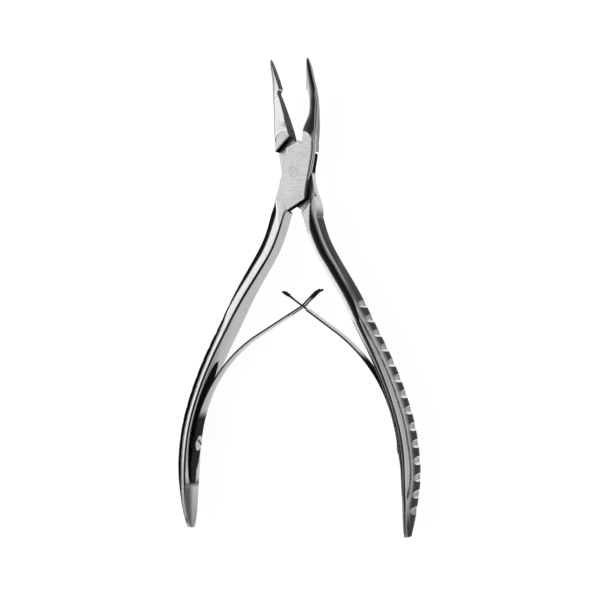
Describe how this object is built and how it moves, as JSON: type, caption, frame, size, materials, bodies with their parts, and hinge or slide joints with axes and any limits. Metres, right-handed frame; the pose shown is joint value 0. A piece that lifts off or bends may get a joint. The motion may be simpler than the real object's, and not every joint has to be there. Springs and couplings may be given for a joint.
{
  "type": "bone rongeur",
  "caption": "Plier-like surgical bone rongeur with forward-curved cup jaws, a riveted lap joint, bowed grooved handles and crossing leaf springs.",
  "frame": {"origin": "point where the pivot axis meets the flat back face of the lap joint, at the centre of the rivet's back end", "axes": "+Z along the pivot axis, from the back face to the front face; +Y from the pivot towards the jaws; +X to the right as seen from the front"},
  "size_m": [0.0724, 0.1344, 0.0127],
  "materials": {
    "lever_steel": "satin faces with polished handles",
    "rivet_steel": "ground flush, satin",
    "spring_steel": "polished leaf",
    "screw_steel": "polished"
  },
  "bodies": {
    "rear_lever": {"rear_lever": "lever_steel", "pivot_rivet": "rivet_steel", "right_spring_foot": "spring_steel", "right_spring_screw": "screw_steel"},
    "front_lever": {"front_lever": "lever_steel", "left_spring_foot": "spring_steel", "left_spring_screw": "screw_steel"},
    "left_spring": {"left_spring_blade": "spring_steel"},
    "right_spring": {"right_spring_blade": "spring_steel"}
  },
  "joints": [
    {"name": "jaw_pivot", "type": "hinge", "parent": "rear_lever", "child": "front_lever", "pos_m": [0, 0, 0], "axis": [0, 0, 1], "range_deg": [-3, 19], "stiffness_Nm_per_rad": 2.5},
    {"name": "left_spring_flex", "type": "hinge", "parent": "front_lever", "child": "left_spring", "pos_m": [-0.02701, -0.06386, 0.0032], "axis": [0, 0, 1], "range_deg": [-2.4, 14.1]},
    {"name": "right_spring_flex", "type": "hinge", "parent": "rear_lever", "child": "right_spring", "pos_m": [0.02715, -0.06381, 0.0032], "axis": [0, 0, 1], "range_deg": [-10.3, 1.8]}
  ],
  "couplings": [
    {"joint": "left_spring_flex", "follows": "jaw_pivot", "ratio": 0.73},
    {"joint": "right_spring_flex", "follows": "jaw_pivot", "ratio": -0.53}
  ]
}
